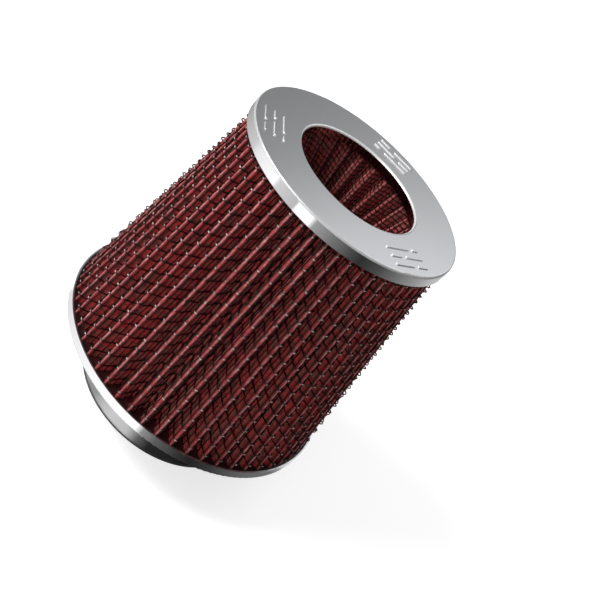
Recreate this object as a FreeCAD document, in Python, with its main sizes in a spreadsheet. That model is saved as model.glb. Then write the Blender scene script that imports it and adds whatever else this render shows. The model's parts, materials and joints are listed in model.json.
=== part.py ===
"""Dual-cone clamp-on air filter for a motorcycle or car intake.

Frame: millimetres, +Z up along the filter's axis, origin at the centre of the
flange's open end, which is also the face that the filter stands on.

From the bottom: a moulded flange whose collar slides over the intake tube, a
chromed base ring, the tapered pack of pleated cotton gauze between two wire
screens, and a chromed top cap. The cap has a hole in its middle, and a second,
smaller pleated cone hangs down from that hole to its own end cap.
"""
import FreeCAD
import Part
import Sketcher
import math
import os

# alias, value, meaning. Lengths are in millimetres and angles in degrees.
SIZES = [
    ("collar_bore_radius", 44.45, "inside of the collar, for an 88.9 mm tube"),
    ("collar_outer_radius", 48.8, "outside of the collar, under the hose clamp"),
    ("collar_neck_radius", 47.8, "groove of the collar that the base ring's plate sits in"),
    ("collar_length", 30.0, "collar below the base ring"),
    ("collar_lead_in", 0.8, "chamfer at the collar's open end"),
    ("foot_radius", 60.0, "flange foot held under the pleats"),
    ("foot_thickness", 3.0, "flange foot"),
    ("metal", 0.8, "sheet metal of the cap, base ring and end cap"),
    ("metal_edge_radius", 0.64, "rolled edges of the base ring and end cap"),
    ("base_ring_radius", 73.0, "outside of the base ring"),
    ("base_ring_height", 5.2, "band of the base ring"),
    ("base_potting_height", 3.8, "resin between the base ring's plate and the pleats"),
    ("pleat_height", 124.2, "outer pleats between the two pottings"),
    ("outer_base_radius", 71.9, "pleat crests at the base"),
    ("outer_top_radius", 54.9, "pleat crests under the top cap"),
    ("outer_base_depth", 11.0, "pleat depth at the base"),
    ("outer_top_depth", 9.0, "pleat depth under the top cap"),
    ("outer_pleats", 54, "number of outer pleats"),
    ("outer_phase", 5.6, "direction of the first outer crest"),
    ("bend_radius", 0.15, "inside of each fold"),
    ("outer_screen_wire", 0.45, "wire of the outer screen"),
    ("cone_screen_wire", 0.25, "wire of the inner cone's screen"),
    ("backing_wire", 0.15, "wire of the backing screens on the clean side"),
    ("gauze", 0.15, "one layer of cotton gauze"),
    ("top_potting_height", 3.6, "resin above the pleats"),
    ("cap_radius", 57.0, "outside of the top cap"),
    ("cap_band", 6.0, "band of the top cap, below its face"),
    ("cap_edge_radius", 1.0, "rolled outer edge of the cap"),
    ("opening_radius", 32.1, "hole in the cap"),
    ("opening_skirt", 4.8, "turned-down lip round the hole"),
    ("opening_edge_radius", 1.0, "rolled edge of the hole"),
    ("mark_height", 0.5, "raised marks on the cap"),
    ("mark_count", 3, "groups of raised marks"),
    ("mark_direction", 84.0, "direction of the first group of marks"),
    ("mark_bar", 1.6, "width of one raised bar"),
    ("cone_top_radius", 33.2, "inner cone's crests under the cap"),
    ("cone_end_radius", 16.5, "inner cone's crests at its small end"),
    ("cone_depth", 7.5, "inner cone's pleat depth"),
    ("cone_height", 50.8, "inner cone's pleats"),
    ("cone_pleats", 26, "number of inner pleats"),
    ("cone_phase", 9.7, "direction of the first fold on the cone's far side"),
    ("end_potting_height", 3.2, "resin in the end cap"),
    ("end_cap_radius", 25.4, "outside of the end cap"),
    ("end_cap_height", 6.0, "end cap"),
]
GAUZE_LAYERS = 4
UP = FreeCAD.Vector(0, 0, 1)

# Plain bars of one raised mark: start and length along a row in millimetres, and
# the row, counted outwards from the middle one. Rows are three bar widths apart.
MARK_BARS = [
    (-10.5, 6.5, 1), (-1.5, 12.0, 1),
    (-10.5, 11.5, 0), (3.5, 7.0, 0),
    (-10.5, 4.0, -1), (-4.0, 14.5, -1),
]

# Heights above the origin, written as expressions on the sheet.
RING_BASE = "Sizes.collar_length"
RING_TOP = "Sizes.collar_length + Sizes.base_ring_height"
PLATE_TOP = "Sizes.collar_length + Sizes.metal"
FOOT_TOP = PLATE_TOP + " + Sizes.foot_thickness"
PLEAT_BASE = PLATE_TOP + " + Sizes.base_potting_height"
PLEAT_TOP = PLEAT_BASE + " + Sizes.pleat_height"
CAP_INSIDE = PLEAT_TOP + " + Sizes.top_potting_height"
CAP_TOP = CAP_INSIDE + " + Sizes.metal"
CONE_END = PLEAT_TOP + " - Sizes.cone_height"
END_PLATE_TOP = CONE_END + " - Sizes.end_potting_height"
END_BASE = END_PLATE_TOP + " - Sizes.metal"


def make_sheet(doc):
    """The spreadsheet that holds every driving dimension."""
    sheet = doc.addObject("Spreadsheet::Sheet", "Sizes")
    for row, (alias, value, meaning) in enumerate(SIZES, start=1):
        sheet.set(f"A{row}", alias)
        sheet.set(f"B{row}", str(value))
        sheet.set(f"C{row}", meaning)
        sheet.setAlias(f"B{row}", alias)
    doc.recompute()
    return sheet


def origin_plane(body, role):
    """One of the body's own origin planes, found by its role."""
    for feature in body.Origin.OriginFeatures:
        if feature.Role == role:
            return feature
    raise ValueError(role)


def pin_point(sketch, line, radius, height):
    """Tie the start of a line to a radius and a height given as expressions."""
    for kind, axis, expression in (("DistanceX", -2, radius), ("DistanceY", -1, height)):
        value = sketch.evalExpression(expression)
        if abs(value) < 1e-9:
            sketch.addConstraint(Sketcher.Constraint("PointOnObject", line, 1, axis))
            continue
        index = sketch.addConstraint(Sketcher.Constraint(kind, -1, 1, line, 1, value))
        sketch.setExpression(f"Constraints[{index}]", expression)


def turned_body(doc, name, corners):
    """A body turned about Z from the section given by (radius, height) corners."""
    body = doc.addObject("PartDesign::Body", name)
    sketch = body.newObject("Sketcher::SketchObject", name + "_section")
    sketch.AttachmentSupport = [(origin_plane(body, "XZ_Plane"), "")]
    sketch.MapMode = "FlatFace"
    points = []
    for radius, height in corners:
        points.append(FreeCAD.Vector(sketch.evalExpression(radius), sketch.evalExpression(height), 0))
    total = len(points)
    for index, point in enumerate(points):
        sketch.addGeometry(Part.LineSegment(point, points[(index + 1) % total]), False)
    for index in range(total):
        sketch.addConstraint(Sketcher.Constraint("Coincident", index, 2, (index + 1) % total, 1))
    for index, (radius, height) in enumerate(corners):
        pin_point(sketch, index, radius, height)
    turn = body.newObject("PartDesign::Revolution", name + "_turn")
    turn.Profile = sketch
    turn.ReferenceAxis = (sketch, ["V_Axis"])
    turn.Angle = 360.0
    doc.recompute()
    return body


def circle_edges(body, radius, height):
    """Names of the body's circular edges with this radius at this height."""
    names = []
    for index, edge in enumerate(body.Shape.Edges, start=1):
        if not isinstance(edge.Curve, Part.Circle):
            continue
        centre = edge.Curve.Center
        if abs(edge.Curve.Radius - radius) < 1e-4 and abs(centre.z - height) < 1e-4:
            names.append(f"Edge{index}")
    return names


def round_edge(doc, body, name, kind, radius, height, size):
    """Fillet or chamfer the circular edge of a radius and height, both expressions."""
    edges = circle_edges(body, body.evalExpression(radius), body.evalExpression(height))
    if not edges:
        raise ValueError("no edge for " + name)
    previous = body.Tip
    feature = body.newObject("PartDesign::" + kind, name)
    feature.Base = (previous, edges)
    feature.setExpression("Radius" if kind == "Fillet" else "Size", size)
    doc.recompute()
    return feature


def make_flange(doc):
    """Moulded rubber flange: the collar, a groove for the base ring, and the foot."""
    body = turned_body(doc, "flange", [
        ("Sizes.collar_bore_radius", "0"),
        ("Sizes.collar_outer_radius", "0"),
        ("Sizes.collar_outer_radius", RING_BASE),
        ("Sizes.collar_neck_radius", RING_BASE),
        ("Sizes.collar_neck_radius", PLATE_TOP),
        ("Sizes.foot_radius", PLATE_TOP),
        ("Sizes.foot_radius", FOOT_TOP),
        ("Sizes.collar_bore_radius", FOOT_TOP),
    ])
    round_edge(doc, body, "collar_lead_in", "Chamfer", "Sizes.collar_bore_radius", "0",
               "Sizes.collar_lead_in")
    round_edge(doc, body, "collar_end_edge", "Chamfer", "Sizes.collar_outer_radius", "0",
               "Sizes.collar_lead_in / 2")
    return body


def make_base_ring(doc):
    """Chromed base ring: a flat plate round the collar with a band at its rim."""
    body = turned_body(doc, "base_ring", [
        ("Sizes.collar_neck_radius", RING_BASE),
        ("Sizes.base_ring_radius", RING_BASE),
        ("Sizes.base_ring_radius", RING_TOP),
        ("Sizes.base_ring_radius - Sizes.metal", RING_TOP),
        ("Sizes.base_ring_radius - Sizes.metal", PLATE_TOP),
        ("Sizes.collar_neck_radius", PLATE_TOP),
    ])
    round_edge(doc, body, "base_ring_edge", "Fillet", "Sizes.base_ring_radius", RING_BASE,
               "Sizes.metal_edge_radius")
    return body


def make_base_potting(doc):
    """Resin that bonds the pleats to the base ring and the flange's foot."""
    return turned_body(doc, "base_potting", [
        ("Sizes.foot_radius", PLATE_TOP),
        ("Sizes.base_ring_radius - Sizes.metal", PLATE_TOP),
        ("Sizes.base_ring_radius - Sizes.metal", PLEAT_BASE),
        ("Sizes.collar_bore_radius", PLEAT_BASE),
        ("Sizes.collar_bore_radius", FOOT_TOP),
        ("Sizes.foot_radius", FOOT_TOP),
    ])


def make_top_potting(doc):
    """Resin in the top cap, above both packs of pleats."""
    return turned_body(doc, "top_potting", [
        ("Sizes.opening_radius + Sizes.metal", PLEAT_TOP),
        ("Sizes.cap_radius - Sizes.metal", PLEAT_TOP),
        ("Sizes.cap_radius - Sizes.metal", CAP_INSIDE),
        ("Sizes.opening_radius + Sizes.metal", CAP_INSIDE),
    ])


def make_cone_potting(doc):
    """Resin in the end cap of the inner cone."""
    return turned_body(doc, "cone_potting", [
        ("0", END_PLATE_TOP),
        ("Sizes.end_cap_radius - Sizes.metal", END_PLATE_TOP),
        ("Sizes.end_cap_radius - Sizes.metal", CONE_END),
        ("0", CONE_END),
    ])


def make_cone_end_cap(doc):
    """Shallow metal cup that closes the small end of the inner cone."""
    end_top = END_BASE + " + Sizes.end_cap_height"
    body = turned_body(doc, "cone_end_cap", [
        ("0", END_BASE),
        ("Sizes.end_cap_radius", END_BASE),
        ("Sizes.end_cap_radius", end_top),
        ("Sizes.end_cap_radius - Sizes.metal", end_top),
        ("Sizes.end_cap_radius - Sizes.metal", END_PLATE_TOP),
        ("0", END_PLATE_TOP),
    ])
    round_edge(doc, body, "end_cap_edge", "Fillet", "Sizes.end_cap_radius", END_BASE,
               "Sizes.metal_edge_radius")
    return body


def add_bar(sketch, start, length, distance, width):
    """One round-ended bar of a raised mark, as a closed slot in the sketch."""
    half = width / 2
    left = start + half
    right = start + length - half
    quarter = math.pi / 2
    left_end = Part.Circle(FreeCAD.Vector(left, distance, 0), UP, half)
    right_end = Part.Circle(FreeCAD.Vector(right, distance, 0), UP, half)
    sketch.addGeometry(Part.ArcOfCircle(left_end, quarter, 3 * quarter), False)
    sketch.addGeometry(Part.ArcOfCircle(right_end, -quarter, quarter), False)
    for side in (-half, half):
        first = FreeCAD.Vector(left, distance + side, 0)
        last = FreeCAD.Vector(right, distance + side, 0)
        sketch.addGeometry(Part.LineSegment(first, last), False)


def make_top_cap(doc):
    """Chromed top cap with its hole, turned-down lips and plain raised marks."""
    body = turned_body(doc, "top_cap", [
        ("Sizes.opening_radius", CAP_TOP),
        ("Sizes.cap_radius", CAP_TOP),
        ("Sizes.cap_radius", CAP_TOP + " - Sizes.cap_band"),
        ("Sizes.cap_radius - Sizes.metal", CAP_TOP + " - Sizes.cap_band"),
        ("Sizes.cap_radius - Sizes.metal", CAP_INSIDE),
        ("Sizes.opening_radius + Sizes.metal", CAP_INSIDE),
        ("Sizes.opening_radius + Sizes.metal", CAP_TOP + " - Sizes.opening_skirt"),
        ("Sizes.opening_radius", CAP_TOP + " - Sizes.opening_skirt"),
    ])
    round_edge(doc, body, "cap_edge", "Fillet", "Sizes.cap_radius", CAP_TOP,
               "Sizes.cap_edge_radius")
    round_edge(doc, body, "opening_edge", "Fillet", "Sizes.opening_radius", CAP_TOP,
               "Sizes.opening_edge_radius")
    sketch = body.newObject("Sketcher::SketchObject", "mark_sketch")
    sketch.AttachmentSupport = [(origin_plane(body, "XY_Plane"), "")]
    sketch.MapMode = "FlatFace"
    sketch.setExpression("AttachmentOffset.Base.z", CAP_TOP)
    turn = sketch.evalExpression("Sizes.mark_direction - 90")
    height = UP * sketch.evalExpression(CAP_TOP)
    sketch.AttachmentOffset = FreeCAD.Placement(height, FreeCAD.Rotation(UP, turn))
    width = sketch.evalExpression("Sizes.mark_bar")
    middle = sketch.evalExpression("(Sizes.cap_radius + Sizes.opening_radius) / 2") + width
    for start, length, row in MARK_BARS:
        add_bar(sketch, start, length, middle + row * 3 * width, width)
    plain = body.Shape.Volume
    pad = body.newObject("PartDesign::Pad", "mark_pad")
    pad.Profile = sketch
    pad.setExpression("Length", "Sizes.mark_height")
    doc.recompute()
    pattern = body.newObject("PartDesign::PolarPattern", "mark_pattern")
    pattern.Originals = [pad]
    pattern.Axis = (sketch, ["N_Axis"])
    pattern.Angle = 360.0
    pattern.Occurrences = int(sketch.evalExpression("Sizes.mark_count"))
    body.Tip = pattern
    doc.recompute()
    if body.Shape.Volume <= plain:
        raise ValueError("the raised marks add nothing")
    return body


def pleat_outline(count, phase, outer, inner, bend, stack, depth, height):
    """Closed outline of one surface of a pleated stack at one height.

    The folds are arcs about two rings of centres, and the flanks are the
    straight lines that cross from one ring to the other. depth runs from 0 on
    the side nearest the axis to the stack's full thickness on the far side, so
    outlines at different depths are parallel.
    """
    outer_ring = outer - bend - stack
    inner_ring = inner + bend + stack
    outer_fold = bend + depth
    inner_fold = bend + stack - depth
    half_pitch = math.pi / count
    gap = FreeCAD.Vector(inner_ring * math.cos(half_pitch) - outer_ring,
                         inner_ring * math.sin(half_pitch), 0)
    along = FreeCAD.Vector(gap).normalize()
    across = FreeCAD.Vector(-along.y, along.x, 0)
    slant = math.asin((2 * bend + stack) / gap.Length)
    normal = along * (-math.sin(slant)) + across * math.cos(slant)
    crest = FreeCAD.Vector(outer_ring, 0, 0)
    leave = crest - normal * outer_fold
    land = crest + gap + normal * inner_fold
    crest_top = FreeCAD.Vector(outer_ring + outer_fold, 0, 0)
    half_turn = FreeCAD.Rotation(UP, math.degrees(half_pitch))
    full_turn = FreeCAD.Rotation(UP, 2 * math.degrees(half_pitch))
    valley = half_turn.multVec(FreeCAD.Vector(inner_ring - inner_fold, 0, 0))
    arrive = FreeCAD.Vector(leave.x, -leave.y, 0)
    lift_off = full_turn.multVec(FreeCAD.Vector(land.x, -land.y, 0))
    pleat = [
        Part.Arc(arrive, crest_top, leave).toShape(),
        Part.LineSegment(leave, land).toShape(),
        Part.Arc(land, valley, lift_off).toShape(),
        Part.LineSegment(lift_off, full_turn.multVec(arrive)).toShape(),
    ]
    edges = []
    for index in range(count):
        turn = FreeCAD.Rotation(UP, phase + 360.0 * index / count)
        place = FreeCAD.Placement(UP * height, turn)
        for edge in pleat:
            edges.append(edge.transformed(place.toMatrix(), True))
    return Part.Wire(edges)


def pleated_layer(pack, near, far):
    """Solid between two depths of a pleated stack, ruled from its base to its top."""
    rims = []
    for height, outer, inner in pack["ends"]:
        pair = []
        for depth in (near, far):
            pair.append(pleat_outline(pack["count"], pack["phase"], outer, inner,
                                      pack["bend"], pack["stack"], depth, height))
        rims.append(pair)
    faces = []
    for side in (0, 1):
        faces += Part.makeLoft([rims[0][side], rims[1][side]], False, True).Faces
    for pair in rims:
        faces.append(Part.makeFace([pair[1], pair[0]], "Part::FaceMakerBullseye"))
    shell = Part.makeShell(faces)
    shell.sewShape()
    solid = Part.makeSolid(Part.makeShell(shell.Faces))
    if solid.Volume < 0:
        solid.reverse()
    return solid


def make_pack(doc, pack, layers):
    """Every layer of one pleated stack, listed from the axis outwards."""
    near = 0.0
    made = []
    for name, thickness in layers:
        node = doc.addObject("Part::Feature", name)
        node.Shape = pleated_layer(pack, near, near + thickness)
        node.Placement = FreeCAD.Placement()
        made.append(node)
        near += thickness
    return made


def gauze_layers(prefix, thickness, order):
    """Names and thicknesses of the cotton layers, in the order given."""
    return [(f"{prefix}_gauze_{number}", thickness) for number in order]


def make_outer_pack(doc, sheet):
    """Outer tapered pack: screen, four layers of gauze and a finer backing screen."""
    order = range(GAUZE_LAYERS, 0, -1)
    layers = [("outer_backing_screen", 2 * sheet.backing_wire)]
    layers += gauze_layers("outer", sheet.gauze, order)
    layers += [("outer_screen", 2 * sheet.outer_screen_wire)]
    base = sheet.evalExpression(PLEAT_BASE)
    top = sheet.evalExpression(PLEAT_TOP)
    pack = {
        "count": int(sheet.outer_pleats),
        "phase": sheet.outer_phase,
        "bend": sheet.bend_radius,
        "stack": sum(thickness for _, thickness in layers),
        "ends": [
            (base, sheet.outer_base_radius, sheet.outer_base_radius - sheet.outer_base_depth),
            (top, sheet.outer_top_radius, sheet.outer_top_radius - sheet.outer_top_depth),
        ],
    }
    return make_pack(doc, pack, layers)


def make_cone_pack(doc, sheet):
    """Inner cone: its screen faces the axis, and its backing screen faces outwards."""
    order = range(1, GAUZE_LAYERS + 1)
    layers = [("cone_screen", 2 * sheet.cone_screen_wire)]
    layers += gauze_layers("cone", sheet.gauze, order)
    layers += [("cone_backing_screen", 2 * sheet.backing_wire)]
    base = sheet.evalExpression(CONE_END)
    top = sheet.evalExpression(PLEAT_TOP)
    pack = {
        "count": int(sheet.cone_pleats),
        "phase": sheet.cone_phase,
        "bend": sheet.bend_radius,
        "stack": sum(thickness for _, thickness in layers),
        "ends": [
            (base, sheet.cone_end_radius + sheet.cone_depth, sheet.cone_end_radius),
            (top, sheet.cone_top_radius + sheet.cone_depth, sheet.cone_top_radius),
        ],
    }
    return make_pack(doc, pack, layers)


def check_states(doc):
    """Stop if any object of the document failed to compute."""
    for item in doc.Objects:
        if "Invalid" in item.State or "Error" in item.State:
            raise RuntimeError("failed: " + item.Name)


def export(nodes):
    """Write each node's solid to its own STEP file."""
    os.makedirs("parts", exist_ok=True)
    for node in nodes:
        shape = node.Shape
        if shape.isNull() or not shape.isValid() or len(shape.Solids) != 1:
            raise RuntimeError("bad shape: " + node.Label)
    for node in nodes:
        node.Shape.exportStep(os.path.join("parts", node.Label + ".step"))
        box = node.Shape.BoundBox
        print(f"{node.Label}: {node.Shape.Volume:.0f} mm3, z {box.ZMin:.2f} to {box.ZMax:.2f}")


def main():
    doc = FreeCAD.newDocument("air_filter")
    sheet = make_sheet(doc)
    nodes = [
        make_flange(doc),
        make_base_ring(doc),
        make_base_potting(doc),
        make_top_cap(doc),
        make_top_potting(doc),
        make_cone_end_cap(doc),
        make_cone_potting(doc),
    ]
    nodes += make_outer_pack(doc, sheet)
    nodes += make_cone_pack(doc, sheet)
    doc.recompute()
    check_states(doc)
    export(nodes)


main()
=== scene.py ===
"""Studio scene for the dual-cone clamp-on air filter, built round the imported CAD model.

The frame is the CAD model's: +Z up along the filter's axis, origin at the centre of
the flange's open end, -Y towards the viewer. Blender objects are in metres, and the
shape code below works in millimetres until it makes a mesh.

The CAD solids that stand in for woven wire and for the gauze next to it are replaced
by round wires that cross and by pleated cloth. Every other CAD part keeps its shape.
"""
import json
import math

import bpy
import numpy as np
from mathutils import Matrix, Vector

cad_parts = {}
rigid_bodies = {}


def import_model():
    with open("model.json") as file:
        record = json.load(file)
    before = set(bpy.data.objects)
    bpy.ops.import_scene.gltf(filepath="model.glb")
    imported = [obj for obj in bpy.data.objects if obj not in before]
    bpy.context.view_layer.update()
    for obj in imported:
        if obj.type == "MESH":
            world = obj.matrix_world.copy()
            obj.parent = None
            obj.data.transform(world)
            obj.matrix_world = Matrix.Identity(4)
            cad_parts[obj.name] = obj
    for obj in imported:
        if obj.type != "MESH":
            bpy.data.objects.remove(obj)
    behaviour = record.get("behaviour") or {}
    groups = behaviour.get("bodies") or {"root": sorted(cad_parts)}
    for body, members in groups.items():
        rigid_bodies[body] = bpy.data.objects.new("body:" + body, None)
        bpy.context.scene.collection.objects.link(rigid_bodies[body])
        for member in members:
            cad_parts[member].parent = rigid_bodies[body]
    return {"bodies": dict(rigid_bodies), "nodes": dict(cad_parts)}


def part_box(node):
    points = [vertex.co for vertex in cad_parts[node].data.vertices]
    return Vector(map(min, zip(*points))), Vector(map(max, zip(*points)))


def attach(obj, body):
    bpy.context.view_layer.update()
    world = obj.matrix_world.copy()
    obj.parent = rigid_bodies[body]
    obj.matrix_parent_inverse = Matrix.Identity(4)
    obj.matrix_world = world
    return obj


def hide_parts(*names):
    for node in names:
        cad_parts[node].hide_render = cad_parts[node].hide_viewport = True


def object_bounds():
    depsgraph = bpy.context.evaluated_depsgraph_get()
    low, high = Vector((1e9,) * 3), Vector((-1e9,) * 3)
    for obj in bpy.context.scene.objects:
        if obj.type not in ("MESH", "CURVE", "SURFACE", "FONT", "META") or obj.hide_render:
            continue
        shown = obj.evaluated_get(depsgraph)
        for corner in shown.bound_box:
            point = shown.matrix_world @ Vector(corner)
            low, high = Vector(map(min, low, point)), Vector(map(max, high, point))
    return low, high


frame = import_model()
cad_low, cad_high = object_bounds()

MM = 0.001
SEED = 7
BODY = next(iter(frame["bodies"]))
GAUZE_LAYERS = 4

# ---------------------------------------------------------------- pleated stacks
# Sizes are in mm. count is the number of pleats, phase the turn of the first one, bend
# the radius inside a fold and stack the thickness of all layers together. crests and
# valleys are radii of the folds at the base and at the top. Depths are measured through
# the stack from the side nearest the axis, and side is +1 where the screen faces away
# from the axis.
# hoops run round the stack: end_gap is the room beyond the last one as a share of the
# gap between two, and steps is the number of points from one upright to the next.
# uprights are counted per pleat. wire is the radius of a hoop, crimp how far wires wave
# in and out, flats the number of faces round a wire, proud how far a hoop stands out on
# a fold and glint how strong the painted highlight on a hoop is there.
# pillow is how far the cloth stands out between wires, fold_pillow the share of that on
# a fold, and rumple the cloth's unevenness.
OUTER = {
    "node": "outer_screen", "count": 54, "phase": math.radians(5.6),
    "bend": 0.15, "stack": 1.8, "crests": (71.9, 54.9), "valleys": (60.9, 45.9),
    "side": 1, "hoops": 18, "end_gap": 0.63, "uprights": 6, "steps": 4,
    "hoop_depth": 1.56, "upright_depth": 1.22, "wire": 0.33, "crimp": 0.16,
    "flats": 6, "proud": 0.48, "cloth_depth": 0.9, "pillow": 0.42, "fold_pillow": 0.75,
    "rumple": 0.06, "glint": 1.0,
    "hoop_pieces": ("outer_hoops_lower", "outer_hoops_upper"),
    "upright_piece": "outer_uprights", "cloth_piece": "outer_cloth",
}
CONE = {
    "node": "cone_screen", "count": 26, "phase": math.radians(9.7),
    "bend": 0.15, "stack": 1.4, "crests": (24.0, 40.7), "valleys": (16.5, 33.2),
    "side": -1, "hoops": 22, "end_gap": 0.6, "uprights": 6, "steps": 4,
    "hoop_depth": 0.04, "upright_depth": 0.30, "wire": 0.24, "crimp": 0.06,
    "flats": 5, "proud": 0.12, "cloth_depth": 0.5, "pillow": 0.16, "fold_pillow": 0.5,
    "rumple": 0.03, "glint": 0.0,
    "hoop_pieces": ("cone_hoops",),
    "upright_piece": "cone_uprights", "cloth_piece": "cone_cloth",
}
OUTER_BACKING = dict(
    OUTER, node="outer_backing_screen", side=-1, hoops=38, end_gap=0.6, steps=2,
    hoop_depth=0.08, upright_depth=0.22, wire=0.075, crimp=0.03, flats=3, proud=0.0,
    hoop_pieces=("outer_backing_hoops",), upright_piece="outer_backing_uprights",
)
CONE_BACKING = dict(
    CONE, node="cone_backing_screen", side=1, hoops=16, end_gap=0.6, steps=2,
    hoop_depth=1.32, upright_depth=1.18, wire=0.075, crimp=0.03, flats=3, proud=0.0,
    hoop_pieces=("cone_backing_hoops",), upright_piece="cone_backing_uprights",
)
for screen_pack in (OUTER, CONE, OUTER_BACKING, CONE_BACKING):
    low_corner, high_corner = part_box(screen_pack["node"])
    screen_pack["ends"] = (low_corner.z / MM, high_corner.z / MM)


def between(pair, share):
    """The number at a share of the way from the first of a pair to the second."""
    first, last = pair
    return first + (last - first) * share


def even_turns(count):
    """Angles that share a full turn out evenly."""
    return 2 * math.pi * np.arange(count) / count


def spoke(angle):
    """The direction at an angle."""
    return np.array([math.cos(angle), math.sin(angle)])


def fold(pack, rise, depth):
    """Centres, radii and directions of one pleat at a height from 0 to 1."""
    outer = between(pack["crests"], rise)
    inner = between(pack["valleys"], rise)
    half = math.pi / pack["count"]
    crest = np.array([outer - pack["bend"] - pack["stack"], 0.0])
    valley_ring = inner + pack["bend"] + pack["stack"]
    valley = valley_ring * spoke(half)
    gap = valley - crest
    reach = np.hypot(*gap)
    along = gap / reach
    across = np.array([-along[1], along[0]])
    slant = math.asin((2 * pack["bend"] + pack["stack"]) / reach)
    normal = across * math.cos(slant) - along * math.sin(slant)
    return {
        "crest": crest,
        "valley": valley,
        "crest_radius": pack["bend"] + depth,
        "valley_radius": pack["bend"] + pack["stack"] - depth,
        "normal": normal,
        "half": half,
        "lean": math.atan2(-normal[1], -normal[0]),
        "land": math.atan2(normal[1], normal[0]),
    }


def flank_ends(pleat):
    """Where the flank leaves the crest's arc and where it lands on the valley's arc."""
    leave = pleat["crest"] - pleat["normal"] * pleat["crest_radius"]
    land = pleat["valley"] + pleat["normal"] * pleat["valley_radius"]
    return leave, land


def valley_turn(pleat):
    """Signed angle of the valley's arc, from where the flank lands to the fold."""
    end = pleat["half"] + math.pi
    return (end - pleat["land"] + math.pi) % (2 * math.pi) - math.pi


def pleat_lengths(pack, depth):
    """Lengths of half a pleat's crest arc, flank and valley arc at mid height."""
    pleat = fold(pack, 0.5, depth)
    leave, land = flank_ends(pleat)
    flank = np.hypot(*(land - leave))
    crest_arc = pleat["crest_radius"] * pleat["lean"]
    valley_arc = pleat["valley_radius"] * abs(valley_turn(pleat))
    return crest_arc, flank, valley_arc


def pleat_point(pleat, station, lengths):
    """Point and outward normal at a station from 0 to 1 along one whole pleat."""
    mirrored = station > 0.5
    run = (1 - station if mirrored else station) * 2 * sum(lengths)
    if run <= lengths[0]:
        out = spoke(pleat["lean"] * run / lengths[0])
        point = pleat["crest"] + out * pleat["crest_radius"]
    elif run <= lengths[0] + lengths[1]:
        share = (run - lengths[0]) / lengths[1]
        leave, land = flank_ends(pleat)
        point = leave + (land - leave) * share
        out = -pleat["normal"]
    else:
        share = (run - lengths[0] - lengths[1]) / lengths[2]
        inward = spoke(pleat["land"] + valley_turn(pleat) * share)
        point = pleat["valley"] + inward * pleat["valley_radius"]
        out = -inward
    if mirrored:
        twice = 2 * pleat["half"]
        flip = np.array([[math.cos(twice), math.sin(twice)], [math.sin(twice), -math.cos(twice)]])
        point = flip @ point
        out = flip @ out
    return point, out


def pleat_ring(pack, rise, depth, stations, lift):
    """Points and normals all round a stack at one height, as (pleats, stations, 2).

    lift holds the extra depth of each point, with shape (pleats, stations).
    """
    lengths = pleat_lengths(pack, depth)
    pleat = fold(pack, rise, depth)
    pairs = [pleat_point(pleat, station, lengths) for station in stations]
    points = np.array([point for point, _ in pairs])
    normals = np.array([normal for _, normal in pairs])
    angles = pack["phase"] + even_turns(pack["count"])
    turn = np.array([[np.cos(angles), -np.sin(angles)], [np.sin(angles), np.cos(angles)]])
    points = np.einsum("ijk,sj->ksi", turn, points)
    normals = np.einsum("ijk,sj->ksi", turn, normals)
    return points + normals * lift[..., None], normals


def stack_height(pack, rise):
    """Height in mm at a share of the stack's height."""
    return between(pack["ends"], rise)


# ---------------------------------------------------------------- mesh building
def make_piece(name, points, faces):
    """A smooth mesh object from points in millimetres and quads."""
    mesh = bpy.data.meshes.new(name)
    mesh.from_pydata((np.asarray(points) * MM).tolist(), [], np.asarray(faces).tolist())
    mesh.polygons.foreach_set("use_smooth", np.ones(len(mesh.polygons), dtype=bool))
    mesh.update()
    piece = bpy.data.objects.new(name, mesh)
    bpy.context.scene.collection.objects.link(piece)
    return piece


def paint(piece, name, values):
    """Store one number per vertex for the piece's material to read."""
    layer = piece.data.attributes.new(name, "FLOAT", "POINT")
    layer.data.foreach_set("value", np.asarray(values).astype(np.float32))


def grid_faces(rows, columns):
    """Quads of a grid of points whose last column joins the first."""
    row, column = np.meshgrid(np.arange(rows - 1), np.arange(columns), indexing="ij")
    here = row * columns + column
    beside = row * columns + (column + 1) % columns
    quads = np.stack([here, beside, beside + columns, here + columns], axis=-1)
    return quads.reshape(-1, 4)


def tube(path, side, up, radius, flats, closed):
    """Points and quads of a round wire along a path, given two directions across it."""
    turns = even_turns(flats)
    ring = (np.cos(turns)[None, :, None] * side[:, None, :]
            + np.sin(turns)[None, :, None] * up[:, None, :])
    points = (path[:, None, :] + radius * ring).reshape(-1, 3)
    quads = grid_faces(len(path), flats)
    if closed:
        last = (len(path) - 1) * flats
        here = np.arange(flats)
        beside = (here + 1) % flats
        joint = np.stack([last + here, last + beside, beside, here], axis=-1)
        quads = np.concatenate([quads, joint])
    return points, quads


class Bundle:
    """Collects wires into one mesh, with the painted highlight at each point where that is known."""

    def __init__(self):
        self.points = []
        self.faces = []
        self.painted_glint = []
        self.total = 0

    def add(self, points, faces):
        """Take in one wire."""
        self.points.append(points)
        self.faces.append(faces + self.total)
        self.total += len(points)

    def build(self, name):
        """Make the piece."""
        piece = make_piece(name, np.concatenate(self.points), np.concatenate(self.faces))
        if self.painted_glint:
            paint(piece, "painted_glint", np.concatenate(self.painted_glint))
        return piece


# ---------------------------------------------------------------- wire screens
UPRIGHT_SHARE = 0.75  # radius of an upright, as a share of a hoop's
FOLD_GRIP = 9  # the higher, the shorter a hoop stands proud beside a fold
HOOP_TREMOR = 0.02  # mm of unevenness in a hoop's depth
HOOP_SWAY = 1.6  # unevenness of a hoop's height before blurring, in radii of the wire
SWAY_BLURS = 4
GLINT_SHARES = (0.6, 1.0)  # least and most painted highlight from point to point along a hoop
GLINT_MIDDLE = 0.3  # painted highlight a quarter turn from the outermost line of a wire
GLINT_SWING = 1.3  # how much more there is on that line, before it is clipped at 1


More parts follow.
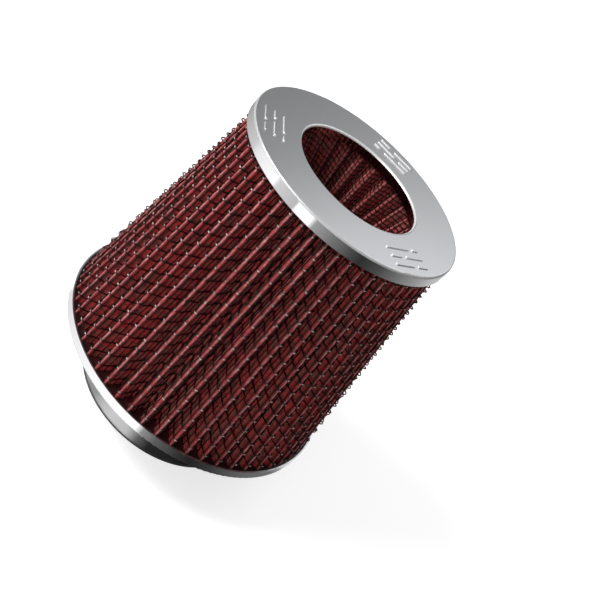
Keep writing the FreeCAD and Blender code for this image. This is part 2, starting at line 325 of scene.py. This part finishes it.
def hoop_rises(pack):
    """Heights of the hoops, as shares of the stack's height."""
    gaps = pack["hoops"] - 1 + 2 * pack["end_gap"]
    return (pack["end_gap"] + np.arange(pack["hoops"])) / gaps


def upright_stations(pack):
    """Places of the uprights along one pleat, none of them on a fold."""
    return (np.arange(pack["uprights"]) + 0.5) / pack["uprights"]


def blur_round(values, times):
    """Running average of values round a closed ring."""
    for _ in range(times):
        values = (np.roll(values, 1) + values + np.roll(values, -1)) / 3
    return values


def hoop_path(pack, rise, flip, rng):
    """Centre line of one hoop, waving in and out between uprights, and its painted highlight."""
    steps = pack["uprights"] * pack["steps"]
    stations = np.arange(steps) / steps
    wave = np.cos(math.pi * (stations * pack["uprights"] + flip))
    fold_at = 0.5 if pack["side"] < 0 else np.round(stations)
    on_crest = np.exp(-((stations - fold_at) * pack["uprights"]) ** 2 * FOLD_GRIP)
    lift = wave * pack["crimp"] + pack["side"] * on_crest * pack["proud"]
    lift = np.tile(lift, (pack["count"], 1))
    lift = lift + rng.normal(0.0, HOOP_TREMOR, lift.shape)
    points, _ = pleat_ring(pack, rise, pack["hoop_depth"], stations, lift)
    path = points.reshape(-1, 2)
    sway = blur_round(rng.normal(0.0, pack["wire"] * HOOP_SWAY, len(path)), SWAY_BLURS)
    # Painted highlight: pale where the hoop crosses the fold that shows, uneven along it.
    painted_glint = np.tile(on_crest ** 2, pack["count"]) * rng.uniform(*GLINT_SHARES, len(path)) * pack["glint"]
    return np.column_stack([path, stack_height(pack, rise) + sway]), painted_glint


def screen_hoops(pack, rng):
    """The wires of a screen that run round the stack, shared among its hoop pieces."""
    bundles = [Bundle() for _ in pack["hoop_pieces"]]
    share = math.ceil(pack["hoops"] / len(bundles))
    for index, rise in enumerate(hoop_rises(pack)):
        path, painted_glint = hoop_path(pack, rise, index % 2, rng)
        ahead = np.roll(path, -1, axis=0) - np.roll(path, 1, axis=0)
        ahead /= np.linalg.norm(ahead, axis=1)[:, None]
        side = np.stack([ahead[:, 1], -ahead[:, 0], np.zeros(len(path))], axis=-1)
        side /= np.linalg.norm(side, axis=1)[:, None]
        up = np.cross(side, ahead)
        bundle = bundles[index // share]
        bundle.add(*tube(path, side, up, pack["wire"], pack["flats"], True))
        # The painted highlight is strongest on the wire's outer side, which narrows it to a glint.
        outward = np.clip(GLINT_MIDDLE + GLINT_SWING * np.cos(even_turns(pack["flats"])), 0.0, 1.0)
        bundle.painted_glint.append(np.outer(painted_glint, outward).ravel())
    return [bundle.build(name) for bundle, name in zip(bundles, pack["hoop_pieces"])]


def screen_uprights(pack):
    """The wires of a screen that run from end to end, bent in and out at the hoops."""
    rises = hoop_rises(pack)
    knots = [0.0]
    for low, high in zip(rises[:-1], rises[1:]):
        knots += [low, (low + high) / 2]
    knots += [rises[-1], 1.0]
    stations = upright_stations(pack)
    rows = []
    for index, rise in enumerate(knots):
        over = math.sin(math.pi * index / 2)
        sign = np.cos(math.pi * np.arange(len(stations)))
        lift = np.tile(over * sign * pack["crimp"], (pack["count"], 1))
        points, normals = pleat_ring(pack, rise, pack["upright_depth"], stations, lift)
        level = np.full(points.shape[:2] + (1,), stack_height(pack, rise))
        rows.append((np.concatenate([points, level], axis=-1),
                     np.concatenate([normals, np.zeros_like(level)], axis=-1)))
    paths = np.stack([row[0] for row in rows], axis=2).reshape(-1, len(knots), 3)
    sides = np.stack([row[1] for row in rows], axis=2).reshape(-1, len(knots), 3)
    bundle = Bundle()
    for path, side in zip(paths, sides):
        ahead = path[-1] - path[0]
        ahead /= np.linalg.norm(ahead)
        up = np.cross(ahead[None, :], side)
        up /= np.linalg.norm(up, axis=1)[:, None]
        bundle.add(*tube(path, side, up, pack["wire"] * UPRIGHT_SHARE, pack["flats"], False))
    return bundle.build(pack["upright_piece"])


# ---------------------------------------------------------------- pleated cloth
SPAN_STEPS = 3  # points of the cloth from one upright to the next
BAND_STEPS = 4  # rows of points from one hoop to the next
SWELL_SHARES = (0.45, 1.0)  # least and most that one cell of cloth stands out
PILLOW_POWER = 0.8  # below 1, so that cloth rises steeply beside a wire


def cloth_stations(pack):
    """Places along one pleat for the cloth: close together on the fold that shows."""
    marks = upright_stations(pack)[: pack["uprights"] // 2]
    edges = np.concatenate([[0.0], marks, [0.5]])
    steps = [SPAN_STEPS] * (len(edges) - 2) + [1]
    if pack["side"] < 0:
        steps = steps[::-1]
    half = []
    for low, high, step in zip(edges[:-1], edges[1:], steps):
        half += list(low + (high - low) * np.arange(step) / step)
    return np.array(half + [0.5] + [1 - place for place in half[:0:-1]])


def pillow(place):
    """How far cloth stands out between two wires, which are at whole numbers."""
    return np.abs(np.sin(math.pi * place)) ** PILLOW_POWER


def band_pillow(share, band, last_band):
    """The same between two hoops, except that cloth stays full beyond the end ones."""
    if band == 0:
        share = 0.5 + share / 2
    elif band == last_band:
        share = share / 2
    return pillow(share)


def pleat_width(pack):
    """Width in mm of the cloth in one pleat."""
    return 2 * sum(pleat_lengths(pack, pack["cloth_depth"]))


def fold_distances(pack, stations):
    """Distance in mm along the cloth from the fold that shows."""
    fold_at = 0.0 if pack["side"] > 0 else 0.5
    away = np.abs(stations - fold_at)
    return np.minimum(away, 1 - away) * pleat_width(pack)


def pleated_cloth(pack, rng):
    """The gauze under a screen: pleated, and pressed out between the wires."""
    stations = cloth_stations(pack)
    knots = np.concatenate([[0.0], hoop_rises(pack), [1.0]])
    last_band = len(knots) - 2
    cells = pack["uprights"]
    cell = np.floor(stations * cells + 0.5).astype(int) % cells
    fold_cell = 0 if pack["side"] > 0 else cells // 2
    across = pillow(stations * cells + 0.5)
    across = np.where(cell == fold_cell, across * pack["fold_pillow"], across)
    points = []
    for band, ends in enumerate(zip(knots[:-1], knots[1:])):
        swell = rng.uniform(*SWELL_SHARES, (pack["count"], cells))[:, cell]
        rows = BAND_STEPS + 1 if band == last_band else BAND_STEPS
        for row in range(rows):
            share = row / BAND_STEPS
            rise = between(ends, share)
            lift = pack["side"] * pack["pillow"] * swell * across * band_pillow(share, band, last_band)
            lift = lift + rng.normal(0.0, pack["rumple"], lift.shape)
            ring, _ = pleat_ring(pack, rise, pack["cloth_depth"], stations, lift)
            ring = ring.reshape(-1, 2)
            level = np.full(len(ring), stack_height(pack, rise))
            points.append(np.column_stack([ring, level]))
    columns = pack["count"] * len(stations)
    piece = make_piece(pack["cloth_piece"], np.concatenate(points), grid_faces(len(points), columns))
    paint(piece, "from_fold", np.tile(fold_distances(pack, stations), pack["count"] * len(points)))
    return piece


# ---------------------------------------------------------------- materials
class Surface:
    """A Principled material and short ways to add nodes to it."""

    def __init__(self, name, **sockets):
        self.material = bpy.data.materials.new(name)
        self.material.use_nodes = True
        self.tree = self.material.node_tree
        self.shader = self.tree.nodes["Principled BSDF"]
        for socket, value in sockets.items():
            self.shader.inputs[socket.replace("_", " ")].default_value = value
        place = self.tree.nodes.new("ShaderNodeTexCoord")
        self.place = place.outputs["Object"]

    def put(self, target, value):
        """Link or set one input."""
        if isinstance(value, bpy.types.NodeSocket):
            self.tree.links.new(value, target)
        else:
            target.default_value = value

    def drive(self, socket, value):
        """Link or set one input of the surface itself."""
        self.put(self.shader.inputs[socket], value)

    def math(self, operation, first, second=0.0):
        """Work one operation out from one or two numbers."""
        node = self.tree.nodes.new("ShaderNodeMath")
        node.operation = operation
        for target, value in zip(node.inputs, (first, second)):
            self.put(target, value)
        return node.outputs[0]

    def noise(self, size, detail=2.0, roughness=0.5, distortion=0.0):
        """Noise whose features are about size metres across."""
        node = self.tree.nodes.new("ShaderNodeTexNoise")
        self.put(node.inputs["Vector"], self.place)
        node.inputs["Scale"].default_value = 1.0 / size
        node.inputs["Detail"].default_value = detail
        node.inputs["Roughness"].default_value = roughness
        node.inputs["Distortion"].default_value = distortion
        return node.outputs["Fac"]

    def span(self, value, low, high, to_low, to_high):
        """Map a range of values smoothly onto another, clamped at both ends."""
        node = self.tree.nodes.new("ShaderNodeMapRange")
        node.interpolation_type = "SMOOTHSTEP"
        for target, number in zip(node.inputs, (value, low, high, to_low, to_high)):
            self.put(target, number)
        return node.outputs[0]

    def blend(self, factor, first, second):
        """Mix two colours."""
        node = self.tree.nodes.new("ShaderNodeMix")
        node.data_type = "RGBA"
        self.put(node.inputs[0], factor)
        self.put(node.inputs[6], first)
        self.put(node.inputs[7], second)
        return node.outputs[2]

    def attribute(self, name):
        """A number stored per vertex by paint."""
        node = self.tree.nodes.new("ShaderNodeAttribute")
        node.attribute_name = name
        return node.outputs["Fac"]

    def axes(self, vector):
        """The three numbers of a vector."""
        node = self.tree.nodes.new("ShaderNodeSeparateXYZ")
        self.put(node.inputs[0], vector)
        return node.outputs

    def bump(self, height, distance, strength):
        """Raise the surface by up to distance metres."""
        node = self.tree.nodes.new("ShaderNodeBump")
        node.inputs["Distance"].default_value = distance
        node.inputs["Strength"].default_value = strength
        self.put(node.inputs["Height"], height)
        self.drive("Normal", node.outputs["Normal"])

    def normal_z(self):
        """Upward share of the surface's own normal."""
        node = self.tree.nodes.new("ShaderNodeNewGeometry")
        return self.axes(node.outputs["True Normal"])[2]

    def radius(self):
        """Distance from the filter's axis."""
        x, y, _ = self.axes(self.place)
        squares = self.math("ADD", self.math("MULTIPLY", x, x), self.math("MULTIPLY", y, y))
        return self.math("SQRT", squares)


def color(red, green, blue):
    """An opaque colour."""
    return (red, green, blue, 1.0)


# Radii in metres of the chromed parts and of the resin's rims of painted shade.
CAP_RADIUS = 0.0570
CAP_HOLE = 0.0324
RING_RADIUS = 0.0730
RING_HOLE = 0.0480
BASE_RESIN_RIM = 0.0705
INNER_RESIN_RIM = 0.0500
# Where the polished band and the outer rim's painted highlight start and are full, in
# metres inwards from the outer radius.
BAND_FADE = (0.0003, 0.0001)
EDGE_FADE = (0.006, 0.004)
# Breadth in metres over which the bore's polish and painted shade, and the resin's rim
# of painted shade, fade out.
BORE_FADE = 0.0008
RIM_FADE = 0.003

POLISHED_CHROME = color(0.80, 0.80, 0.81)
SATIN_CHROME = color(0.685, 0.70, 0.72)
# Painted shade on the wall of the bore.
BORE_SHADE = color(0.30, 0.25, 0.25)
# Painted highlights on the rolled edges: bright at the hole, dimmer at the outside.
HOLE_RIM_HIGHLIGHT = color(0.84, 0.83, 0.82)
OUTER_RIM_HIGHLIGHT = color(0.58, 0.58, 0.58)
SHADED_UNDERSIDE = color(0.22, 0.22, 0.22)


def chrome(name, band_radius, bore_radius):
    """Plated steel: a polished band, satin faces, rolled edges painted lighter as a
    highlight, and undersides painted darker as shade.

    The wall of the bore is polished too, but painted darker as shade.
    """
    look = Surface(name)
    smudge = look.noise(0.012, 3.0, 0.6)
    grain = look.noise(0.0009, 2.0, 0.6)
    rise = look.normal_z()
    radius = look.radius()
    upright = look.span(look.math("ABSOLUTE", rise), 0.03, 0.08, 1.0, 0.0)
    on_band = look.span(radius, band_radius - BAND_FADE[0], band_radius - BAND_FADE[1], 0.0, 1.0)
    near_bore = look.span(radius, bore_radius, bore_radius + BORE_FADE, 1.0, 0.0)
    in_bore = look.math("MULTIPLY", upright, near_bore)
    polished = look.math("MULTIPLY", upright, look.math("MAXIMUM", on_band, in_bore))
    underside = look.span(rise, -0.20, -0.05, 1.0, 0.0)
    tilted = look.span(rise, 0.05, 0.15, 0.0, 1.0)
    not_level = look.span(rise, 0.88, 0.97, 1.0, 0.0)
    slope = look.math("MULTIPLY", tilted, not_level)
    side_wall = look.math("SUBTRACT", upright, polished)
    rolled = look.math("MAXIMUM", slope, side_wall)
    outer_edge = look.span(radius, band_radius - EDGE_FADE[0], band_radius - EDGE_FADE[1], 0.0, 1.0)
    # Painted highlight on the rolled edges, bright at the hole and dimmer further out.
    edge = look.blend(outer_edge, HOLE_RIM_HIGHLIGHT, OUTER_RIM_HIGHLIGHT)
    finish = look.blend(rolled, SATIN_CHROME, edge)
    finish = look.blend(polished, finish, POLISHED_CHROME)
    finish = look.blend(underside, finish, SHADED_UNDERSIDE)
    # The bore's wall takes its painted shade.
    look.drive("Base Color", look.blend(in_bore, finish, BORE_SHADE))
    look.drive("Metallic", look.span(rolled, 0.0, 1.0, 1.0, 0.45))
    satin = look.span(grain, 0.2, 0.8, 0.285, 0.315)
    rougher = look.math("MAXIMUM", rolled, underside)
    satin = look.math("ADD", satin, look.math("MULTIPLY", rougher, 0.15))
    mirror = look.span(smudge, 0.35, 0.75, 0.035, 0.075)
    dull = look.math("MULTIPLY", look.math("SUBTRACT", 1.0, polished), satin)
    look.drive("Roughness", look.math("ADD", dull, look.math("MULTIPLY", polished, mirror)))
    look.bump(grain, 0.000001, 0.2)
    return look.material


TURNING = 9000.0  # turned marks of the steel, in radians per metre
STEEL = (color(0.42, 0.42, 0.43), color(0.58, 0.58, 0.58))


def steel():
    """Plain pressed steel with faint turned marks."""
    look = Surface("steel", Metallic=1.0)
    rings = look.math("SINE", look.math("MULTIPLY", look.radius(), TURNING))
    wear = look.noise(0.004, 4.0, 0.6)
    look.drive("Base Color", look.blend(wear, *STEEL))
    look.drive("Roughness", look.span(wear, 0.3, 0.7, 0.28, 0.45))
    look.bump(rings, 0.00001, 0.5)
    return look.material


RUBBER = color(0.022, 0.022, 0.024)
DUSTY_RUBBER = color(0.038, 0.037, 0.038)


def rubber():
    """Moulded black rubber with a soft gloss."""
    look = Surface("rubber", Specular_IOR_Level=0.7, Coat_Weight=0.5, Coat_Roughness=0.22)
    skin = look.noise(0.0006, 3.0, 0.6)
    dust = look.noise(0.02, 4.0, 0.55)
    look.drive("Base Color", look.blend(look.span(dust, 0.4, 0.7, 0.0, 1.0), RUBBER, DUSTY_RUBBER))
    look.drive("Roughness", look.span(dust, 0.3, 0.7, 0.28, 0.38))
    look.bump(skin, 0.00002, 0.4)
    return look.material


OILED_RESIN = (color(0.030, 0.007, 0.007), color(0.075, 0.013, 0.014))
DARK_RESIN = (color(0.014, 0.006, 0.006), color(0.034, 0.013, 0.012))
RESIN_RIM_SHADE = color(0.014, 0.004, 0.004)


def resin(name, low, high, rim_radius):
    """Cast resin, smooth with shallow flow marks, with painted shade darkest from rim_radius outwards."""
    look = Surface(name, Specular_IOR_Level=0.4)
    flow = look.noise(0.006, 3.0, 0.5, 0.8)
    cast = look.blend(look.span(flow, 0.35, 0.65, 0.0, 1.0), low, high)
    # Painted shade from the rim outwards.
    rim_shade = look.span(look.radius(), rim_radius - RIM_FADE, rim_radius, 0.0, 1.0)
    look.drive("Base Color", look.blend(rim_shade, cast, RESIN_RIM_SHADE))
    look.drive("Roughness", look.span(flow, 0.3, 0.7, 0.32, 0.5))
    look.bump(flow, 0.0002, 0.4)
    return look.material


# Each wire's coat colour, and the pale colour of its painted highlight.
COARSE_WIRE = {"coat": color(0.007, 0.003, 0.003), "glint_color": color(0.56, 0.45, 0.42)}
FINE_WIRE = {"coat": color(0.014, 0.010, 0.010), "glint_color": color(0.50, 0.40, 0.38)}
WIRE_STAIN = color(0.055, 0.007, 0.007)


def wire(name, coat, glint_color):
    """Dark coated wire, stained by oil, with a pale painted highlight where paint says so."""
    look = Surface(name, Specular_IOR_Level=0.12)
    stain = look.noise(0.003, 3.0, 0.6)
    nick = look.noise(0.0004, 2.0, 0.6)
    # Painted highlight from the painted attribute, broken up by fine noise.
    highlight_mask = look.math("ADD", look.attribute("painted_glint"), look.span(nick, 0.3, 0.7, -0.15, 0.15))
    painted_glint = look.span(highlight_mask, 0.35, 0.80, 0.0, 1.0)
    stained = look.blend(look.span(stain, 0.35, 0.70, 0.0, 0.8), coat, WIRE_STAIN)
    look.drive("Base Color", look.blend(painted_glint, stained, glint_color))
    look.drive("Metallic", look.math("MULTIPLY", painted_glint, 0.25))
    look.drive("Roughness", look.span(painted_glint, 0.0, 1.0, 0.50, 0.55))
    look.bump(nick, 0.00002, 0.5)
    return look.material


# The oil's colours on the cloth, each as painted shade at the fold and painted light deep on the flank.
BROWN_OIL_SHADE_TO_LIGHT = (color(0.125, 0.030, 0.026), color(0.490, 0.165, 0.138))
RED_OIL_SHADE_TO_LIGHT = (color(0.310, 0.020, 0.023), color(0.860, 0.088, 0.092))
FRESH_OIL_SHADE_TO_LIGHT = (color(0.450, 0.026, 0.028), color(0.940, 0.088, 0.090))
MOTTLE = color(0.060, 0.018, 0.014)
BETWEEN_YARNS = color(0.030, 0.003, 0.003)
DIM_CREST_HIGHLIGHT = color(0.24, 0.040, 0.045)
OUTER_CREST_HIGHLIGHT = color(0.50, 0.190, 0.198)
CONE_CREST_HIGHLIGHT = color(0.36, 0.106, 0.104)
YARN_PITCH = 0.0009  # metres from one yarn to the next
CREST_CORE = 0.45  # share of the crest highlight's width that is at full strength


def yarns(look):
    """A pattern of yarns that cross, one set upright and one level."""
    _, _, z = look.axes(look.place)
    pitch = 2 * math.pi / YARN_PITCH
    upright_yarn = look.math("SINE", look.math("MULTIPLY", look.radius(), pitch))
    level_yarn = look.math("SINE", look.math("MULTIPLY", z, pitch))
    return look.math("MAXIMUM", upright_yarn, level_yarn)


def oil_with_painted_shading(look, patch, from_fold, shade_to_light_reach):
    """Colour of the oil: brown, red and fresh patches, with painted shade by the fold and painted light on
    the flanks.
    """
    blotch = look.noise(0.011, 2.0, 0.5)
    # Painted shade beside the fold, turning into painted light deeper on the flank.
    depth = look.span(from_fold, *shade_to_light_reach, 0.0, 1.0)
    brown = look.blend(depth, *BROWN_OIL_SHADE_TO_LIGHT)
    red = look.blend(depth, *RED_OIL_SHADE_TO_LIGHT)
    fresh = look.blend(depth, *FRESH_OIL_SHADE_TO_LIGHT)
    oil = look.blend(look.span(patch, 0.40, 0.62, 0.0, 1.0), brown, red)
    return look.blend(look.span(blotch, 0.45, 0.75, 0.0, 0.7), oil, fresh)


def cotton(name, shade_to_light_reach, crest_highlight=None, highlight_width=0.0, fade=0.0):
    """Open woven gauze, red with filter oil, patchy on the flanks, with a paler painted highlight on the
    folds.

    shade_to_light_reach is where, in millimetres from the fold, the painted shade beside the
    fold starts and ends turning into brighter painted light. crest_highlight is the painted
    highlight's colour and highlight_width how far it reaches from the fold, in millimetres;
    the inner layers have no painted highlight. fade mixes that much of the highlight's
    colour into all of the cloth.
    """
    look = Surface(name, Specular_IOR_Level=0.18, Sheen_Weight=0.12, Sheen_Roughness=0.4)
    weave = yarns(look)
    fuzz = look.noise(0.0012, 3.0, 0.65)
    patch = look.noise(0.0045, 3.0, 0.6, 0.6)
    from_fold = look.attribute("from_fold")
    # oil holds the oil's colour together with painted shade by the fold and painted light on the flank.
    oil = oil_with_painted_shading(look, patch, from_fold, shade_to_light_reach)
    if fade:
        oil = look.blend(fade, oil, crest_highlight)
    mottle = look.noise(0.0016, 3.0, 0.7)
    oil = look.blend(look.span(mottle, 0.44, 0.60, 0.0, 0.6), oil, MOTTLE)
    openings = look.span(weave, -0.3, 0.7, 0.0, 1.0)
    holes = look.math("MULTIPLY", openings, look.span(fuzz, 0.25, 0.7, 0.7, 1.1))
    shaded = look.blend(look.span(holes, 0.0, 1.0, 0.30, 0.0), oil, BETWEEN_YARNS)
    # Painted highlight: a paler colour along the fold that shows.
    if highlight_width:
        reach = look.math("ADD", from_fold, look.span(fuzz, 0.3, 0.7, -0.2, 0.2))
        highlight_mask = look.span(reach, highlight_width * CREST_CORE, highlight_width, 1.0, 0.0)
        highlight_tone = look.blend(look.span(patch, 0.35, 0.62, 0.0, 0.8), crest_highlight, DIM_CREST_HIGHLIGHT)
        shaded = look.blend(highlight_mask, shaded, highlight_tone)
    look.drive("Base Color", shaded)
    look.drive("Roughness", look.span(patch, 0.35, 0.65, 0.55, 0.8))
    look.bump(look.math("ADD", look.math("MULTIPLY", weave, 0.5), fuzz), 0.00012, 0.6)
    return look.material


def dress(piece, material):
    """Give a piece one material for all its faces."""
    piece.data.materials.clear()
    piece.data.materials.append(material)


# ---------------------------------------------------------------- the object
def build_screen(pack, material, rng):
    """A screen of crossing wires in place of its CAD stand-in."""
    pieces = screen_hoops(pack, rng) + [screen_uprights(pack)]
    for piece in pieces:
        dress(piece, material)
        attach(piece, BODY)
    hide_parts(pack["node"])


def build_cloth(pack, node, material, rng):
    """The gauze layer next to a screen, in place of its CAD stand-in."""
    piece = pleated_cloth(pack, rng)
    dress(piece, material)
    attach(piece, BODY)
    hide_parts(node)


def build_screens(rng):
    """The four screens; the cone's, seen through the hole, has the outer one's finish."""
    coarse = wire("outer_wire", **COARSE_WIRE)
    fine = wire("fine_wire", **FINE_WIRE)
    build_screen(OUTER, coarse, rng)
    build_screen(CONE, coarse, rng)
    build_screen(OUTER_BACKING, fine, rng)
    build_screen(CONE_BACKING, fine, rng)


def build_gauze(rng):
    """The first layer of gauze as cloth, and the CAD layers behind it."""
    outer = cotton("outer_cotton", shade_to_light_reach=(1.2, 4.5), crest_highlight=OUTER_CREST_HIGHLIGHT, highlight_width=0.44)
    build_cloth(OUTER, "outer_gauze_1", outer, rng)
    cone = cotton("cone_cotton", shade_to_light_reach=(0.3, 2.2), crest_highlight=CONE_CREST_HIGHLIGHT, highlight_width=0.4, fade=0.45)
    build_cloth(CONE, "cone_gauze_1", cone, rng)
    # The inner layers carry no from_fold, so they take the painted shade's dark end all over.
    inner = cotton("inner_cotton", shade_to_light_reach=(0.0, 1.0))
    for prefix in ("outer", "cone"):
        for layer in range(2, GAUZE_LAYERS + 1):
            dress(frame["nodes"][f"{prefix}_gauze_{layer}"], inner)


def dress_solid_parts():
    """Materials of the metal, rubber and resin parts."""
    nodes = frame["nodes"]
    dress(nodes["top_cap"], chrome("cap_chrome", CAP_RADIUS, CAP_HOLE))
    dress(nodes["base_ring"], chrome("ring_chrome", RING_RADIUS, RING_HOLE))
    dress(nodes["cone_end_cap"], steel())
    dress(nodes["flange"], rubber())
    dress(nodes["base_potting"], resin("oiled_resin", *OILED_RESIN, BASE_RESIN_RIM))
    dark_resin = resin("dark_resin", *DARK_RESIN, INNER_RESIN_RIM)
    for name in ("top_potting", "cone_potting"):
        dress(nodes[name], dark_resin)


def build_object():
    """The filter: screens and cloth in place of their stand-ins, and materials for all."""
    rng = np.random.default_rng(SEED)
    build_screens(rng)
    build_gauze(rng)
    dress_solid_parts()


# ---------------------------------------------------------------- studio
FLOOR_SIZE = 12.0
FLOOR_COLOR = color(0.62, 0.62, 0.62)
GLOW_REACH = (0.1, 0.9)  # metres from the axis where the floor's glow starts and ends rising
FLOOR_GLOW = (0.675, 1.0)
BLACK = color(0.0, 0.0, 0.0)
WHITE = color(1.0, 1.0, 1.0)
# Brightness of the surroundings for reflections, for diffuse light and for the camera.
REFLECTED_SKY = 0.22
SOFT_SKY = 0.32
SEEN_SKY = 1.0
CARD_STEPS = 180
# What polished metal sees low down, as (direction in degrees from -Y towards +X,
# brightness): white cards from the left round to the front, a dark room on the right,
# and weaker cards behind.
NEAR_CARDS = ((-180, 0.4), (-110, 0.7), (-90, 1.2), (-60, 2.0), (-44, 2.9), (-38, 2.3), (-31, 2.7),
              (-24, 4.8), (-15, 6.5), (0, 6.0), (8, 1.1), (16, 0.08), (40, 0.02), (90, 0.05),
              (130, 0.8), (180, 0.4))
RING_CARDS = ((-180, 0.35), (-106, 0.90), (-93, 1.75), (-87, 0.90), (-74, 0.92), (-60, 1.04), (-27, 1.2),
              (3, 1.3), (5, 0.35), (14, 0.13), (27, 0.04), (34, 0.02), (47, 0.05), (67, 0.15),
              (87, 0.18), (94, 0.34), (100, 0.80), (106, 0.90), (119, 0.60), (150, 0.45), (180, 0.35))
CAP_CARDS = ((-180, 0.28), (-150, 0.38), (-93, 0.72), (-83, 1.0), (-50, 1.25), (-47, 0.80),
             (-24, 0.60), (-22, 1.25), (-5, 1.25), (-3, 0.42), (18, 0.20), (37, 0.07), (46, 0.035),
             (65, 0.08), (83, 0.18), (112, 0.38), (131, 0.55), (150, 0.57), (170, 0.47), (180, 0.45))

# Rings of cards on the floor: inner and outer radius, height above it, and the cards.
CARD_RINGS = {
    "near_cards": (0.050, 0.086, 0.0004, NEAR_CARDS),
    "ring_cards": (0.086, 0.200, 0.0006, RING_CARDS),
    "cap_cards": (0.200, 0.900, 0.0008, CAP_CARDS),
}
# Softboxes: place, width, height and watts.
SOFTBOXES = {
    "key": ((-0.75, -0.35, 0.85), 0.55, 0.45, 13.6),
    "fill": ((-0.15, -1.00, 0.60), 0.60, 0.60, 1.7),
    "top": ((0.38, 0.95, 1.08), 1.15, 1.15, 3.2),
}
CAMERA_PLACE = Vector((0.0004, -0.4108, 0.3413))
CAMERA_RIGHT = Vector((0.73259, 0.32509, 0.59802))
CAMERA_UP = Vector((-0.67961, 0.39817, 0.61610))
CAMERA_LENS = 60.0
CAMERA_SENSOR = 36.0


def stage_object(name, points, faces):
    """A mesh that belongs to the studio, in metres."""
    mesh = bpy.data.meshes.new(name)
    mesh.from_pydata(points, [], faces)
    mesh.update()
    piece = bpy.data.objects.new(name, mesh)
    bpy.context.scene.collection.objects.link(piece)
    return piece


def make_floor():
    """Pale floor: light of its own, for the camera only, keeps it white round the shadow."""
    edge = FLOOR_SIZE / 2
    corners = [(-edge, -edge, 0), (edge, -edge, 0), (edge, edge, 0), (-edge, edge, 0)]
    floor = stage_object("floor", corners, [(0, 1, 2, 3)])
    look = Surface("floor", Roughness=0.9, Base_Color=FLOOR_COLOR, Specular_IOR_Level=0.0,
                   Emission_Color=WHITE)
    path = look.tree.nodes.new("ShaderNodeLightPath")
    glow = look.span(look.radius(), *GLOW_REACH, *FLOOR_GLOW)
    look.drive("Emission Strength", look.math("MULTIPLY", path.outputs["Is Camera Ray"], glow))
    dress(floor, look.material)


def bearing(turn):
    """Direction in degrees from -Y towards +X, from -180 to 180."""
    return ((math.degrees(turn) + 90 + 180) % 360) - 180


def make_cards(name, inner, outer, height, cards):
    """A ring of cards on the floor that only reflections see."""
    turns = even_turns(CARD_STEPS)
    points = []
    for radius in (inner, outer):
        points += [(radius * math.cos(turn), radius * math.sin(turn), height) for turn in turns]
    ring = stage_object(name, points, grid_faces(2, CARD_STEPS).tolist())
    levels = np.array(cards, dtype=float)
    level = np.interp([bearing(turn) for turn in turns], levels[:, 0], levels[:, 1])
    paint(ring, "level", np.tile(level, 2))
    look = Surface(name, Base_Color=BLACK, Specular_IOR_Level=0.0, Emission_Color=WHITE)
    look.drive("Emission Strength", look.attribute("level"))
    dress(ring, look.material)
    ring.visible_camera = False
    ring.visible_diffuse = False
    ring.visible_transmission = False
    ring.visible_volume_scatter = False
    ring.visible_shadow = False


def softbox(name, place, target, width, height, watts):
    """An area light that faces a target and isn't seen itself."""
    data = bpy.data.lights.new(name, "AREA")
    data.shape = "ELLIPSE"
    data.size = width
    data.size_y = height
    data.energy = watts
    light = bpy.data.objects.new(name, data)
    bpy.context.scene.collection.objects.link(light)
    light.location = place
    light.rotation_euler = (Vector(target) - Vector(place)).to_track_quat("-Z", "Y").to_euler()
    light.visible_camera = False


def make_world():
    """White surroundings, as bright to each kind of ray as its level says."""
    world = bpy.data.worlds.new("studio")
    bpy.context.scene.world = world
    world.use_nodes = True
    nodes = world.node_tree.nodes
    links = world.node_tree.links
    sky = nodes["Background"]
    path = nodes.new("ShaderNodeLightPath")
    level = REFLECTED_SKY
    for ray, brightness in (("Is Diffuse Ray", SOFT_SKY), ("Is Camera Ray", SEEN_SKY)):
        choose = nodes.new("ShaderNodeMapRange")
        links.new(path.outputs[ray], choose.inputs["Value"])
        if isinstance(level, float):
            choose.inputs["To Min"].default_value = level
        else:
            links.new(level, choose.inputs["To Min"])
        choose.inputs["To Max"].default_value = brightness
        level = choose.outputs[0]
    links.new(level, sky.inputs["Strength"])
    sky.inputs["Color"].default_value = WHITE


def make_studio():
    """Floor, cards, softboxes and surroundings."""
    make_floor()
    for name, ring in CARD_RINGS.items():
        make_cards(name, *ring)
    middle = (cad_low + cad_high) / 2
    for name, (place, width, height, watts) in SOFTBOXES.items():
        softbox(name, place, middle, width, height, watts)
    make_world()


def make_camera():
    """The photograph's viewpoint: from above the front, rolled to the left."""
    data = bpy.data.cameras.new("camera")
    data.lens = CAMERA_LENS
    data.sensor_width = CAMERA_SENSOR
    camera = bpy.data.objects.new("camera", data)
    bpy.context.scene.collection.objects.link(camera)
    back = CAMERA_RIGHT.cross(CAMERA_UP)
    turn = Matrix((CAMERA_RIGHT, CAMERA_UP, back)).transposed()
    camera.matrix_world = Matrix.Translation(CAMERA_PLACE) @ turn.to_4x4()
    bpy.context.scene.camera = camera


build_object()
make_studio()
make_camera()
bpy.context.scene.view_settings.view_transform = "Standard"
